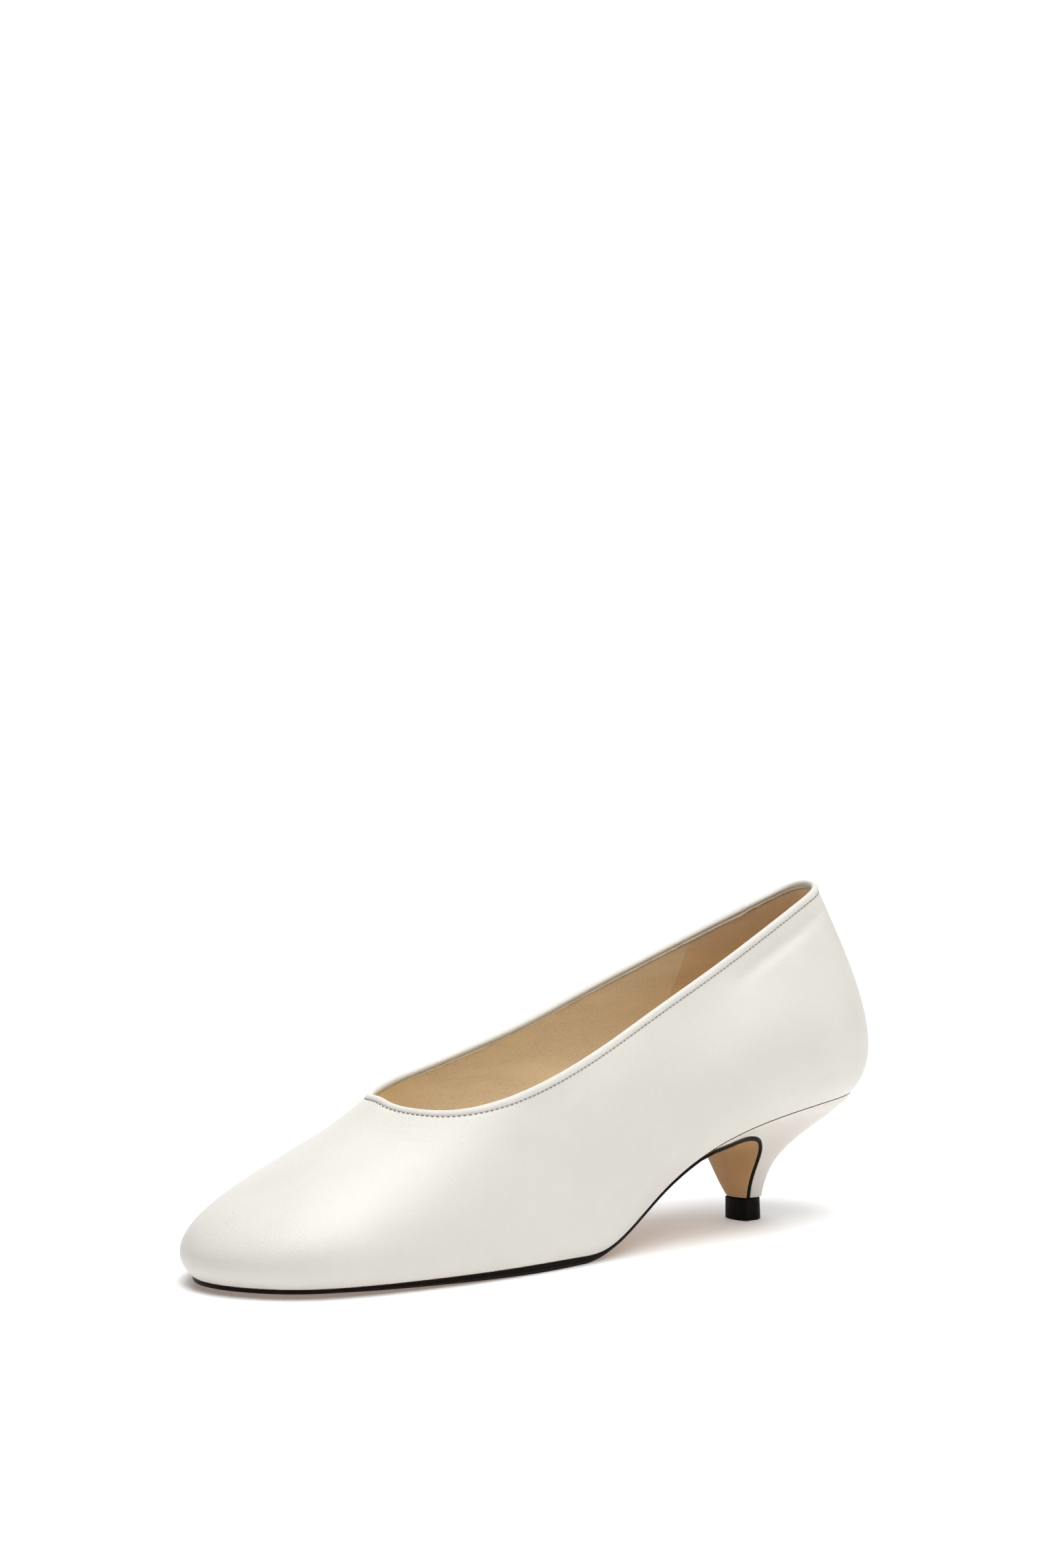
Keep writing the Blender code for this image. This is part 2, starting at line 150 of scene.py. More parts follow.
# Camera: where it stands around the shoe, and where its aim point falls in the picture
PICTURE = (1568, 2352)
CAMERA_AZIMUTH = 55.7
CAMERA_ELEVATION = 8.9
CAMERA_DISTANCE = 1000.0
CAMERA_FOCUS_PX = 4990.0
CAMERA_AIM = (125.0, 0.0, 40.0)
CAMERA_AIM_PX = (787.5, 1672.5)
SENSOR = 36.0
CLIP_START = 0.01


# Curves of the last

def spline(knots, values, mirrored):
    """Cubic spline; a mirrored column is level at both ends, the others have no bend there."""
    count = len(knots)
    step = np.diff(knots)
    slope = np.diff(values) / step
    matrix = np.eye(count)
    right = np.zeros(count)
    for i in range(1, count - 1):
        matrix[i, i - 1:i + 2] = step[i - 1], 2 * (step[i - 1] + step[i]), step[i]
        right[i] = 6 * (slope[i] - slope[i - 1])
    if mirrored:
        matrix[0, :2] = 2 * step[0], step[0]
        matrix[-1, -2:] = step[-1], 2 * step[-1]
        right[0], right[-1] = 6 * slope[0], -6 * slope[-1]
    bend = np.linalg.solve(matrix, right)

    def value(q):
        i = np.clip(np.searchsorted(knots, q, side="right") - 1, 0, count - 2)
        a = (knots[i + 1] - q) / step[i]
        b = 1 - a
        curve = (a ** 3 - a) * bend[i] + (b ** 3 - b) * bend[i + 1]
        return a * values[i] + b * values[i + 1] + curve * step[i] ** 2 / 6

    return value


def last_curves():
    """The columns of the last table as curves of t, in millimetres and degrees."""
    table = np.array(LAST_ROWS)
    curves = {}
    for i, name in enumerate(LAST_COLUMNS[1:], start=1):
        values = table[:, i] * LAST_UNITS.get(name, 1.0)
        if name in ("along", "top_along"):
            values = values + HEEL_LEVELS[-1][HEEL_COLUMNS.index("back_s")]
        if name == "rise":
            values = values + TREAD_TOP
        curves[name] = spline(table[:, 0], values, name not in MIRRORED_WITH_SIGN)
    return curves


LAST = last_curves()


def edge_line(along, half, height, t, side):
    """Points of the feather line or the topline on one side, with their outward normals in plan."""
    nudge = 0.001
    ahead, behind = np.minimum(t + nudge, 1.0), np.maximum(t - nudge, 0.0)
    ds = LAST[along](ahead) - LAST[along](behind)
    dy = LAST[half](ahead) - LAST[half](behind)
    ds = np.where((t <= 0.0) | (t >= 1.0), 0.0, ds)
    size = np.hypot(ds, dy)
    points = np.stack([LAST[along](t), side * LAST[half](t), LAST[height](t)], -1)
    normals = np.stack([-dy / size, side * ds / size, np.zeros_like(t)], -1)
    return points, normals


def feather(t, side):
    return edge_line("along", "lat" if side > 0 else "med", "rise", t, side)


def topline(t, side):
    points, normals = edge_line("top_along", "top_half", "top", t, side)
    points[..., 2] -= side * LAST["lean"](t)
    return points, normals


def tilted(normals, tilt, reach):
    """A handle that leaves along the plan normals, raised by tilt degrees."""
    angle = np.radians(tilt)[..., None]
    up = np.array([0.0, 0.0, 1.0])
    return reach[..., None] * (normals * np.cos(angle) + up * np.sin(angle))


def rib(t, v, side):
    """Points of the upper's outside: t picks the rib, v runs from the feather line to the topline."""
    foot, foot_out = feather(t, side)
    top, top_out = topline(t, side)
    low = foot + tilted(foot_out, LAST["foot_tilt"](t), LAST["foot_reach"](t))
    high = top + tilted(top_out, -LAST["top_tilt"](t), LAST["top_reach"](t))
    v = v[..., None]
    return (1 - v) ** 3 * foot + 3 * (1 - v) ** 2 * v * low + 3 * (1 - v) * v ** 2 * high + v ** 3 * top


def ring_ribs(ribs):
    """The t and side of each rib on the way round the shoe: outer side to the toe, inner side back."""
    even = np.linspace(0.0, 1.0, ribs + 1)
    t = even - RIB_CROWDING * np.sin(2 * np.pi * even) / (2 * np.pi)
    return np.concatenate([t, t[-2:0:-1]]), np.concatenate([np.ones(ribs + 1), -np.ones(ribs - 1)])


def on_ring(function, t, side, *rest):
    """Evaluate a one-sided function along the ring."""
    outer = function(t, *rest, 1.0)
    inner = function(t, *rest, -1.0)
    pick = side > 0
    if isinstance(outer, tuple):
        return tuple(np.where(pick[:, None], a, b) for a, b in zip(outer, inner))
    return np.where(pick[:, None], outer, inner)


def frame_offset():
    """Middle of the shoe's box in plan, which the part's origin stands under."""
    t, side = ring_ribs(FRAME_RIBS)
    rows = [on_ring(rib, t, side, np.full_like(t, v)) for v in np.linspace(0.0, 1.0, FRAME_STEPS + 1)]
    points = np.concatenate(rows)
    return (points[:, :2].min(0) + points[:, :2].max(0)) / 2


MIDDLE = frame_offset()


def to_part(points):
    """Last millimetres to part metres: the toe looks to -Y and the outer side to +X."""
    s, y, z = np.moveaxis(np.asarray(points, float), -1, 0)
    return np.stack([y - MIDDLE[1], MIDDLE[0] - s, z], -1) * MM


def feather_t(s):
    """The rib that starts at s."""
    t = np.linspace(0.0, 1.0, FEATHER_SAMPLES)
    return np.interp(s, LAST["along"](t), t)


def heel_levels(steps):
    """The heel table as smooth level lines."""
    table = np.array(HEEL_LEVELS)
    knots = np.arange(len(table), dtype=float)
    q = np.linspace(0.0, knots[-1], steps)
    return {name: spline(knots, table[:, i], False)(q) for i, name in enumerate(HEEL_COLUMNS)}


def profile_normals(profile):
    """Unit normals of a line in the s, z plane, to the side of the floor and of the breast."""
    run = np.gradient(profile, axis=0)
    run /= np.linalg.norm(run, axis=1)[:, None]
    return np.stack([run[:, 1], -run[:, 0]], -1)


def breast_shift(y, half, level):
    """How far the breast stands forward of its table: it is turned outward and bowed."""
    fade = 1 - np.clip((level - SKEW_FULL) / (1 - SKEW_FULL), 0, 1) ** 2
    return fade * (BREAST_BOW * (1 - (y / half) ** 2) - BREAST_SKEW * y)


# Meshes

def band_faces(rows, columns, close_rows=False, close_columns=True):
    """Quads between loops of the same length."""
    faces = []
    for r in range(rows if close_rows else rows - 1):
        below, above = r * columns, ((r + 1) % rows) * columns
        for c in range(columns if close_columns else columns - 1):
            n = (c + 1) % columns
            faces.append((below + c, above + c, above + n, below + n))
    return faces


def ladder_faces(start, columns):
    """Cap of a loop whose point i lies across from point columns - i."""
    faces = [(start, start + columns - 1, start + 1)]
    for i in range(1, columns // 2):
        across = columns - i
        if across - 1 == i + 1:
            faces.append((start + i, start + across, start + i + 1))
        else:
            faces.append((start + i, start + across, start + across - 1, start + i + 1))
    return faces


def block_faces(rows, columns):
    """Quads between loops, closed by a ladder at each end."""
    faces = band_faces(rows, columns)
    for start in (0, (rows - 1) * columns):
        faces += ladder_faces(start, columns)
    return faces


def loft_faces(rows, columns, start=0):
    """Quads between loops, closed by one face at each end."""
    faces = [tuple(start + i for i in face) for face in band_faces(rows, columns)]
    last = start + (rows - 1) * columns
    return faces + [tuple(range(start, start + columns)), tuple(range(last, last + columns))]


def new_piece(name, points, faces, materials, pick=None, sharp=40.0):
    """A mesh from last millimetres, facing out, smooth but for edges sharper than the angle given."""
    mesh = bpy.data.meshes.new(name)
    mesh.from_pydata(to_part(points).tolist(), [], faces)
    for material in materials:
        mesh.materials.append(material)
    if pick is not None:
        mesh.polygons.foreach_set("material_index", pick)
    bm = bmesh.new()
    bm.from_mesh(mesh)
    bmesh.ops.recalc_face_normals(bm, faces=bm.faces)
    bm.to_mesh(mesh)
    bm.free()
    mesh.shade_smooth()
    mesh.set_sharp_from_angle(angle=np.radians(sharp))
    obj = bpy.data.objects.new(name, mesh)
    bpy.context.scene.collection.objects.link(obj)
    return obj


def settle(obj, slot, *nodes):
    """Fix a piece to the shoe and let it stand for its solids; its finish slot is not used."""
    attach(obj, BODY)
    if nodes:
        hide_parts(*nodes)


def grid_normals(grid):
    """Outward unit normals of a closed ring of ribs."""
    run = np.roll(grid, -1, 1) - np.roll(grid, 1, 1)
    climb = np.gradient(grid, axis=0)
    out = np.cross(climb, run)
    return out / np.linalg.norm(out, axis=2)[..., None]


# Where on a rib the upward direction of the topline roll is taken
NEAR_TOP = 0.98


def bead_frame(t, side):
    """Centre of the topline roll with its upward and outward directions."""
    top, _ = on_ring(topline, t, side)
    before = on_ring(rib, t, side, np.full_like(t, NEAR_TOP))
    rise = top - before
    rise /= np.linalg.norm(rise, axis=1)[:, None]
    run = np.roll(top, -1, 0) - np.roll(top, 1, 0)
    out = np.cross(rise, run)
    out /= np.linalg.norm(out, axis=1)[:, None]
    return top - out * WALL / 2, rise, out


def arc_lengths(line):
    """Running length of a closed line, with its total."""
    steps = np.linalg.norm(np.roll(line, -1, 0) - line, axis=1)
    return np.concatenate([[0.0], np.cumsum(steps)[:-1]]), steps.sum()


# Shader building

class Socket:
    """An output socket whose arithmetic adds Math nodes."""

    def __init__(self, look, link):
        self.look = look
        self.link = link

    def _math(self, operation, first, second=None, clamp=False):
        node = self.look.tree.nodes.new("ShaderNodeMath")
        node.operation = operation
        node.use_clamp = clamp
        for i, value in enumerate((first, second)):
            if value is not None:
                self.look.feed(node.inputs[i], value)
        return Socket(self.look, node.outputs[0])

    def __add__(self, other):
        return self._math("ADD", self, other)

    def __radd__(self, other):
        return self._math("ADD", other, self)

    def __sub__(self, other):
        return self._math("SUBTRACT", self, other)

    def __rsub__(self, other):
        return self._math("SUBTRACT", other, self)

    def __mul__(self, other):
        return self._math("MULTIPLY", self, other)

    def __rmul__(self, other):
        return self._math("MULTIPLY", other, self)

    def __truediv__(self, other):
        return self._math("DIVIDE", self, other)

    def clamped(self):
        return self._math("ADD", self, 0.0, clamp=True)


class Nodes:
    """A node tree under construction."""

    def __init__(self, tree):
        self.tree = tree

    def feed(self, socket, value):
        if isinstance(value, Socket):
            self.tree.links.new(value.link, socket)
        else:
            socket.default_value = value

    def node(self, kind, settings=None, out=0, **sockets):
        """Add a node: its settings first, then the values or links of its sockets."""
        node = self.tree.nodes.new(kind)
        for name, value in (settings or {}).items():
            setattr(node, name, value)
        for name, value in sockets.items():
            self.feed(node.inputs[name], value)
        return Socket(self, node.outputs[out])

    def ramp(self, factor, low, high):
        """Straight slope from 0 at low to 1 at high."""
        return ((factor - low) / (high - low)).clamped()


class Look(Nodes):
    """A material under construction, with its shader and its object coordinates."""

    def __init__(self, name, **constants):
        self.material = bpy.data.materials.new(name)
        self.material.use_nodes = True
        super().__init__(self.material.node_tree)
        self.shader = self.tree.nodes["Principled BSDF"]
        for socket, value in constants.items():
            self.shader.inputs[socket.replace("_", " ")].default_value = value
        self.place = self.node("ShaderNodeTexCoord", out="Object")

    def noise(self, size, detail=3.0, roughness=0.55):
        """Noise whose lumps are about size millimetres across."""
        return self.node("ShaderNodeTexNoise", Vector=self.place, Scale=1 / (size * MM), Detail=detail,
                         Roughness=roughness)

    def cells(self, size, feature="F1"):
        """Cells about size millimetres across, as the distance from their middles."""
        return self.node("ShaderNodeTexVoronoi", {"feature": feature}, Vector=self.place,
                         Scale=1 / (size * MM))

    def mix(self, factor, first, second):
        node = self.tree.nodes.new("ShaderNodeMix")
        node.data_type = "RGBA"
        self.feed(node.inputs["Factor"], factor)
        for name, value in (("A", first), ("B", second)):
            socket = [s for s in node.inputs if s.name == name and s.type == "RGBA"][0]
            self.feed(socket, value)
        return Socket(self, [s for s in node.outputs if s.type == "RGBA"][0])

    def bump(self, height, distance, strength=1.0):
        return self.node("ShaderNodeBump", Height=height, Distance=distance * MM, Strength=strength)

    def set(self, **sockets):
        for name, value in sockets.items():
            self.feed(self.shader.inputs[name.replace("_", " ")], value)
        return self.material


def shade_of(colour, share):
    """A colour darkened or lightened by a share."""
    return (colour[0] * share, colour[1] * share, colour[2] * share, 1.0)


def opaque(colour):
    return (colour[0], colour[1], colour[2], 1.0)


# Pin marks in the leather, each a dark spot of painted shade standing for a pit too small to model: radius
# in mm, how far their rims reach, how strong and how dark the painted shade is
PIN_SIZE = 0.16
PIN_RIM = 1.6
PIN_WEIGHT = 0.7
PIN_PIT_SHADE = 0.35


def nappa(name, colour, marks=()):
    """Smooth full-grain leather: fine pebbles, a few pores, a faint cloudiness and any pin marks, drawn as
    spots of painted shade.
    """
    look = Look(name, Specular_IOR_Level=0.5, Coat_Roughness=0.36)
    pebbles = look.cells(0.6, "SMOOTH_F1")
    pores = look.cells(1.1)
    fibre = look.noise(0.25, detail=2.0)
    clouds = look.noise(22.0, detail=2.0)
    tone = look.ramp(clouds, 0.35, 0.7)
    base = look.mix(tone, shade_of(colour, 0.965), opaque(colour))
    pit = look.ramp(pores, 0.10, 0.0) * 0.35
    base = look.mix(pit * look.ramp(fibre, 0.45, 0.65), base, shade_of(colour, 0.86))
    # Each pin mark darkens the colour in a small spot: painted shade of a tiny pit
    for mark in marks:
        place = look.node("ShaderNodeMapping", Vector=look.place, Location=tuple(-mark))
        away = look.node("ShaderNodeVectorMath", {"operation": "LENGTH"}, out="Value", Vector=place)
        painted_pit_shade = look.ramp(away, PIN_SIZE * MM * PIN_RIM, PIN_SIZE * MM)
        base = look.mix(painted_pit_shade * PIN_WEIGHT, base, shade_of(colour, PIN_PIT_SHADE))
    height = pebbles * 0.6 + fibre * 0.4 - pit * 0.6
    rough = 0.42 + fibre * 0.10 + tone * 0.04
    return look.set(Base_Color=base, Roughness=rough, Coat_Weight=0.18 + tone * 0.06,
                    Normal=look.bump(height, 0.16, strength=0.85))


def suede(name, colour):
    """Matte lining leather with a short brushed nap."""
    look = Look(name, Specular_IOR_Level=0.2)
    nap = look.noise(0.45, detail=4.0, roughness=0.7)
    brushed = look.node("ShaderNodeMapping", Vector=look.place, Scale=(1.0, 0.22, 1.0))
    streaks = look.node("ShaderNodeTexNoise", Vector=brushed, Scale=1 / (7.0 * MM), Detail=2.0)
    speck = look.cells(0.8)
    tone = look.ramp(nap, 0.3, 0.72)
    base = look.mix(tone, shade_of(colour, 0.80), shade_of(colour, 1.10))
    base = look.mix(look.ramp(streaks, 0.42, 0.72) * 0.6, base, shade_of(colour, 1.12))
    base = look.mix(look.ramp(speck, 0.12, 0.02) * 0.35, base, shade_of(colour, 0.62))
    return look.set(Base_Color=base, Roughness=0.82 + nap * 0.12,
                    Normal=look.bump(nap, 0.12, strength=0.6))


def raw_edge(name, colour):
    """Cut edge of leather: pale fibres, slightly frayed."""
    look = Look(name, Specular_IOR_Level=0.2)
    fibres = look.noise(0.3, detail=4.0, roughness=0.7)
    base = look.mix(look.ramp(fibres, 0.35, 0.7), shade_of(colour, 0.72), opaque(colour))
    return look.set(Base_Color=base, Roughness=0.85 + fibres * 0.1,
                    Normal=look.bump(fibres, 0.2, strength=0.7))


def sole_face(name, colour):
    """Smooth veg-tanned sole leather with fine flecks."""
    look = Look(name, Specular_IOR_Level=0.35)
    grain = look.noise(0.5, detail=4.0, roughness=0.65)
    clouds = look.noise(14.0, detail=3.0)
    base = look.mix(look.ramp(clouds, 0.3, 0.72), shade_of(colour, 0.88), shade_of(colour, 1.06))
    base = look.mix(look.ramp(grain, 0.50, 0.72) * 0.5, base, shade_of(colour, 0.80))
    return look.set(Base_Color=base, Roughness=0.52 + grain * 0.14,
                    Normal=look.bump(grain, 0.06, strength=0.5))


def edge_paint(name, colour, worn):
    """Painted sole edge, with a little brown showing where the paint is thin."""
    look = Look(name, Specular_IOR_Level=0.08)
    thin = look.noise(2.6, detail=4.0, roughness=0.6)
    ripple = look.noise(0.5, detail=3.0)
    base = look.mix(look.ramp(thin, 0.50, 0.75) * 0.6, opaque(colour), opaque(worn))
    return look.set(Base_Color=base, Roughness=0.40 + ripple * 0.2,
                    Normal=look.bump(ripple, 0.08, strength=0.5))


def rubber(name, colour):
    """Dense black rubber with a moulded, slightly dusty skin."""
    look = Look(name, Specular_IOR_Level=0.1)
    skin = look.noise(0.35, detail=4.0, roughness=0.65)
    dust = look.noise(4.0, detail=3.0)
    base = look.mix(look.ramp(dust, 0.5, 0.8) * 0.5, opaque(colour), shade_of(colour, 2.2))
    return look.set(Base_Color=base, Roughness=0.46 + skin * 0.18,
                    Normal=look.bump(skin, 0.05, strength=0.5))


def thread(name, colour):
    """Twisted sewing thread."""
    look = Look(name, Specular_IOR_Level=0.3)
    twist = look.noise(0.12, detail=3.0)
    base = look.mix(look.ramp(twist, 0.35, 0.65), shade_of(colour, 0.7), shade_of(colour, 1.2))
    return look.set(Base_Color=base, Roughness=0.6 + twist * 0.2,
                    Normal=look.bump(twist, 0.05, strength=0.5))


# Settings that a user may change

class PumpSizes(bpy.types.PropertyGroup):
    """Sizes of the leather work."""
    leather: FloatProperty(name="Leather", description="Thickness of the outer leather", default=0.0008,
                           unit="LENGTH")
    lining: FloatProperty(name="Lining", description="Thickness of the lining", default=0.0005,
                          unit="LENGTH")
    bead_high: FloatProperty(name="Bead height", description="Height of the topline roll", default=0.0025,
                             unit="LENGTH")
    bead_thick: FloatProperty(name="Bead thickness", description="Thickness of the topline roll",
                              default=0.0022, unit="LENGTH")
    stitch_pitch: FloatProperty(name="Stitch pitch", description="Distance between topline stitches",
                                default=0.0016, unit="LENGTH")
    stitch_long: FloatProperty(name="Stitch length", description="Visible length of one stitch",
                               default=0.0009, unit="LENGTH")
    stitch_thick: FloatProperty(name="Thread", description="Thickness of the sewing thread",
                                default=0.00026, unit="LENGTH")


COLOUR = {"subtype": "COLOR", "min": 0.0, "max": 1.0}


class PumpColours(bpy.types.PropertyGroup):
    """Colours of the leather work, as linear colour."""
    nappa: FloatVectorProperty(name="Nappa", description="Outer leather", default=(0.79, 0.762, 0.702),
                               **COLOUR)
    heel: FloatVectorProperty(name="Heel cover", description="Leather over the heel block",
                              default=(0.76, 0.712, 0.655), **COLOUR)
    lining: FloatVectorProperty(name="Lining", description="Forepart lining", default=(0.94, 0.795, 0.58),
                                **COLOUR)
    counter: FloatVectorProperty(name="Counter lining", description="Lining around the heel",
                                 default=(0.88, 0.67, 0.45), **COLOUR)
    cut: FloatVectorProperty(name="Cut edge", description="Raw edge of the binding",
                             default=(0.95, 0.88, 0.74), **COLOUR)
    sole: FloatVectorProperty(name="Sole leather", description="Underside and breast flap",
                              default=(0.52, 0.31, 0.145), **COLOUR)
    paint: FloatVectorProperty(name="Edge paint", description="Painted sole edge",
                               default=(0.004, 0.0035, 0.003), **COLOUR)
    bevel: FloatVectorProperty(name="Edge bevel", description="Lower bevel of the sole edge",
                               default=(0.020, 0.011, 0.006), **COLOUR)
    rubber: FloatVectorProperty(name="Top piece", description="Rubber of the top piece",
                                default=(0.004, 0.0038, 0.0035), **COLOUR)
    thread: FloatVectorProperty(name="Thread", description="Topline stitches",
                                default=(0.17, 0.155, 0.14), **COLOUR)
    floor: FloatVectorProperty(name="Floor", description="Studio floor", default=(0.90, 0.90, 0.90),
                               **COLOUR)


# Pieces

# Soft troughs and ridges of the worn-in leather: side, from t and v, to t and v, width and depth in mm
CREASE_COLUMNS = ("side", "t0", "v0", "t1", "v1", "width", "depth")
CREASES = (
    (1, 0.080, 0.915, 0.310, 0.845, 2.4, -0.80),
    (1, 0.120, 0.952, 0.200, 0.942, 0.8, -0.10),
    (1, 0.500, 0.885, 0.700, 0.905, 2.6, -0.22),
    (1, 0.535, 0.930, 0.600, 0.945, 0.8, -0.08),
    (1, 0.560, 0.905, 0.620, 0.915, 0.8, -0.07),
    (1, 0.935, 0.872, 0.850, 0.868, 0.8, -0.08),
    (1, 0.920, 0.845, 0.820, 0.838, 0.9, -0.08),
    (1, 0.900, 0.900, 0.830, 0.920, 0.8, -0.07),
    (-1, 0.085, 0.915, 0.275, 0.852, 2.2, -0.45),
    (-1, 0.500, 0.885, 0.700, 0.905, 2.6, -0.20),
)
CREASE_STEPS = 60
CREASE_FADE = 0.7

# Two pin marks at the toe, painted as dark spots of shade: t and v on the outer side
PIN_MARKS = ((0.993, 0.420), (0.990, 0.370))

# Seam under the topline roll, in mm: how far down it lies, how deep it pulls the leather in, and how widely
SEAM_DROP = 1.05
SEAM_PULL = 0.12
SEAM_SPREAD = 1.1


def stop_under(t, drop):
    """Where each rib is drop millimetres short of the topline, which it meets at three times its handle."""
    return 1 - drop / (3 * LAST["top_reach"](t))


def skin_grid(t, side, steps, drop):
    """Rows of the upper's outside from the feather line to drop millimetres under the topline."""
    stop = stop_under(t, drop)
    rows = [on_ring(rib, t, side, stop * v) for v in np.linspace(0.0, 1.0, steps + 1)]
    return np.stack(rows)


def crease_field(grid, side):
    """How far each point of the skin is pressed in or raised by the creases."""
    field = np.zeros(grid.shape[:2])
    share = np.linspace(0.0, 1.0, CREASE_STEPS)
    for row in CREASES:
        crease = dict(zip(CREASE_COLUMNS, row))
        t = crease["t0"] + share * (crease["t1"] - crease["t0"])
        v = crease["v0"] + share * (crease["v1"] - crease["v0"])
        press = np.zeros(field.shape)
        for point, fade in zip(rib(t, v, crease["side"]), np.sin(np.pi * share) ** CREASE_FADE):
            away = ((grid - point) ** 2).sum(2) / crease["width"] ** 2
            press = np.maximum(press, fade * np.exp(-away))
        field += np.where(side == crease["side"], crease["depth"] * press, 0)
    return field


class PUMP_OT_upper(bpy.types.Operator):
    """Outer leather of the upper, from the feather line to the seam under the topline roll"""
    bl_idname = "pump.upper"
    bl_label = "Upper"

    def execute(self, context):
        sizes, colours = context.scene.pump_sizes, context.scene.pump_colours
        t, side = ring_ribs(SKIN_RIBS)
        grid = skin_grid(t, side, SKIN_STEPS, SEAM_DROP)
        normals = grid_normals(grid)
        below_seam = np.linalg.norm(grid - grid[-1], axis=2)
        pulled = SEAM_PULL * np.exp(-(below_seam / SEAM_SPREAD) ** 2)
        outside = grid + normals * (crease_field(grid, side) - pulled)[..., None]
        inside = (outside - normals * (sizes.leather / MM))[::SKIN_BACK_EVERY]
        loops = np.concatenate([outside, inside[::-1]])
        faces = band_faces(len(loops), len(t), close_rows=True)
        pin_t, pin_v = np.array(PIN_MARKS).T
        marks = to_part(rib(pin_t, pin_v, 1.0))
        leather = nappa("nappa_upper", colours.nappa, marks)
        obj = new_piece("upper_leather", loops.reshape(-1, 3), faces, [leather], sharp=60)
        settle(obj, "nappa_leather", "upper")
        return {"FINISHED"}


# Counter lining: how far it stands proud in mm and where its front edge ends; both stop under the topline
COUNTER_LIFT = 0.12
COUNTER_TOP_T = 0.266
COUNTER_FOOT_T = 0.284
LINING_DROP = 1.5


class PUMP_OT_lining(bpy.types.Operator):
    """Tan lining inside the upper, with the counter lining round the heel laid over it"""
    bl_idname = "pump.lining"
    bl_label = "Lining"

    def execute(self, context):
        sizes, colours = context.scene.pump_sizes, context.scene.pump_colours
        self.add_lining(sizes, colours)
        self.add_counter(sizes, colours)
        return {"FINISHED"}

    def add_lining(self, sizes, colours):
        t, side = ring_ribs(LINING_RIBS)
        grid = skin_grid(t, side, LINING_STEPS, LINING_DROP)
        normals = grid_normals(grid)
        back = grid - normals * (WALL - sizes.lining / MM)
        face = grid - normals * WALL
        loops = np.concatenate([back, face[::-1]])
        faces = band_faces(len(loops), len(t), close_rows=True)
        leather = suede("suede_lining", colours.lining)
        obj = new_piece("lining", loops.reshape(-1, 3), faces, [leather], sharp=60)
        settle(obj, "lining_leather")

    def add_counter(self, sizes, colours):
        ends = np.linspace(COUNTER_FOOT_T, COUNTER_TOP_T, LINING_STEPS + 1)
        share = np.concatenate([np.linspace(-1, 0, LINING_RIBS)[:-1], np.linspace(0, 1, LINING_RIBS)])
        side = np.where(share < 0, -1.0, 1.0)
        rows = []
        for v, end in zip(np.linspace(0.0, 1.0, LINING_STEPS + 1), ends):
            t = np.abs(share) * end
            rows.append(on_ring(rib, t, side, stop_under(t, LINING_DROP) * v))
        grid = np.stack(rows)
        out = np.cross(np.gradient(grid, axis=0), np.gradient(grid, axis=1))
        out /= np.linalg.norm(out, axis=2)[..., None]
        loops = np.concatenate([grid - out * WALL, (grid - out * (WALL + COUNTER_LIFT))[::-1]])
        columns = len(share)
        faces = band_faces(len(loops), columns, close_rows=True, close_columns=False)
        for c in (0, columns - 1):
            edge = [r * columns + c for r in range(len(loops))]
            faces += [(edge[r], edge[r + 1], edge[-r - 2], edge[-r - 1]) for r in range(LINING_STEPS)]
        leather = suede("suede_counter", colours.counter)
        obj = new_piece("counter_lining", loops.reshape(-1, 3), faces, [leather], sharp=60)
        settle(obj, "lining_leather")


# Section of the topline roll, outward and upward from its centre as shares of its half sizes; the last
# points are the raw edge of the strip that is turned in
BEAD_SECTION = (
    (0.50, -0.90), (0.80, -0.72), (0.96, -0.38), (1.00, 0.00), (0.92, 0.42), (0.70, 0.76),
    (0.38, 0.95), (0.00, 1.00), (-0.40, 0.93), (-0.72, 0.74), (-0.92, 0.48), (-0.98, 0.22),
    (-0.90, 0.00), (-0.70, -0.14), (-0.78, -0.22), (-1.04, -0.36), (-1.14, -0.58), (-1.06, -0.80),
    (-0.80, -0.88), (-0.66, -0.88), (0.00, -0.80),
)
CUT_FROM = 13
CUT_TO = 18
FRAY = 0.07
FRAY_SEED = 4
# Join of the binding on the inner side: its rib, how much thicker one end is, and over what run in mm
JOIN_T = 0.178
JOIN_STEP = 0.22
JOIN_FADE = 14.0


class PUMP_OT_bead(bpy.types.Operator):
    """Rolled binding along the topline, turned in over the lining with a raw edge"""
    bl_idname = "pump.bead"
    bl_label = "Topline roll"

    def execute(self, context):
        sizes, colours = context.scene.pump_sizes, context.scene.pump_colours
        t, side = ring_ribs(BEAD_RIBS)
        centre, rise, out = bead_frame(t, side)
        run, _ = arc_lengths(centre)
        join = np.argmin(np.abs(t - JOIN_T) + (side > 0))
        ahead = run[join] - run
        swell = 1 + JOIN_STEP * np.where(ahead >= 0, np.exp(-ahead / JOIN_FADE), 0.0)
        half = np.array([sizes.bead_thick, sizes.bead_high]) / MM / 2
        rng = np.random.default_rng(FRAY_SEED)
        fray = rng.normal(0.0, FRAY, (len(t), len(BEAD_SECTION)))
        loops = []
        for i, (across, up) in enumerate(BEAD_SECTION):
            cut = CUT_FROM <= i <= CUT_TO
            grow = swell + (fray[:, i] if cut else 0.0)
            outward = out * (across * half[0] * grow)[:, None]
            upward = rise * (up * half[1] * grow)[:, None]
            loops.append(centre + outward + upward)
        columns = len(t)
        faces = band_faces(len(loops), columns, close_rows=True)
        pick = np.zeros(len(faces), int)
        pick[CUT_FROM * columns:CUT_TO * columns] = 1
        materials = [nappa("nappa_roll", colours.nappa), raw_edge("raw_cut_edge", colours.cut)]
        obj = new_piece("topline_roll", np.concatenate(loops), faces, materials, pick, sharp=75)
        settle(obj, "nappa_leather", "topline_binding")
        return {"FINISHED"}


